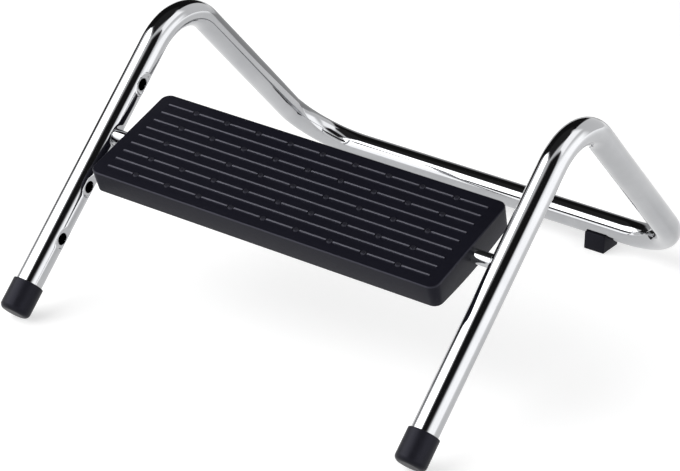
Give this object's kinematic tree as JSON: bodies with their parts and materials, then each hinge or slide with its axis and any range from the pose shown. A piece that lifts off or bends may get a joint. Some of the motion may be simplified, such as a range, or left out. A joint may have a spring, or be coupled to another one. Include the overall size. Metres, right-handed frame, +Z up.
{
  "type": "tilting footrest",
  "caption": "Under desk footrest: ribbed plastic platform on a cross axle that tilts between the legs of a bent chromed tube frame.",
  "frame": {"origin": "on the floor, in the middle of the footprint", "axes": "+X across the footrest to the user's right, +Y away from the user towards the rear bar, +Z up"},
  "size_m": [0.459, 0.4752, 0.2319],
  "materials": {
    "chrome_tube": "bright chrome plating",
    "chrome_rod": "bright chrome plating",
    "foot_rubber": "satin black rubber",
    "glide_rubber": "matt black rubber",
    "zinc_steel": "bright zinc plating",
    "spring_steel": "dark spring steel",
    "black_plastic": "fine grained black plastic"
  },
  "bodies": {
    "frame": {"frame_tube": "chrome_tube", "foot_cap_left": "foot_rubber", "foot_cap_right": "foot_rubber", "rear_glide_left": "glide_rubber", "rear_glide_right": "glide_rubber", "glide_screws": "zinc_steel"},
    "platform": {"tread_platform": "black_plastic", "axle_rod": "chrome_rod", "axle_rings": "spring_steel"}
  },
  "joints": [
    {"name": "platform_tilt", "type": "hinge", "parent": "frame", "child": "platform", "pos_m": [0, -0.09571, 0.13813], "axis": [1, 0, 0], "continuous": true}
  ]
}
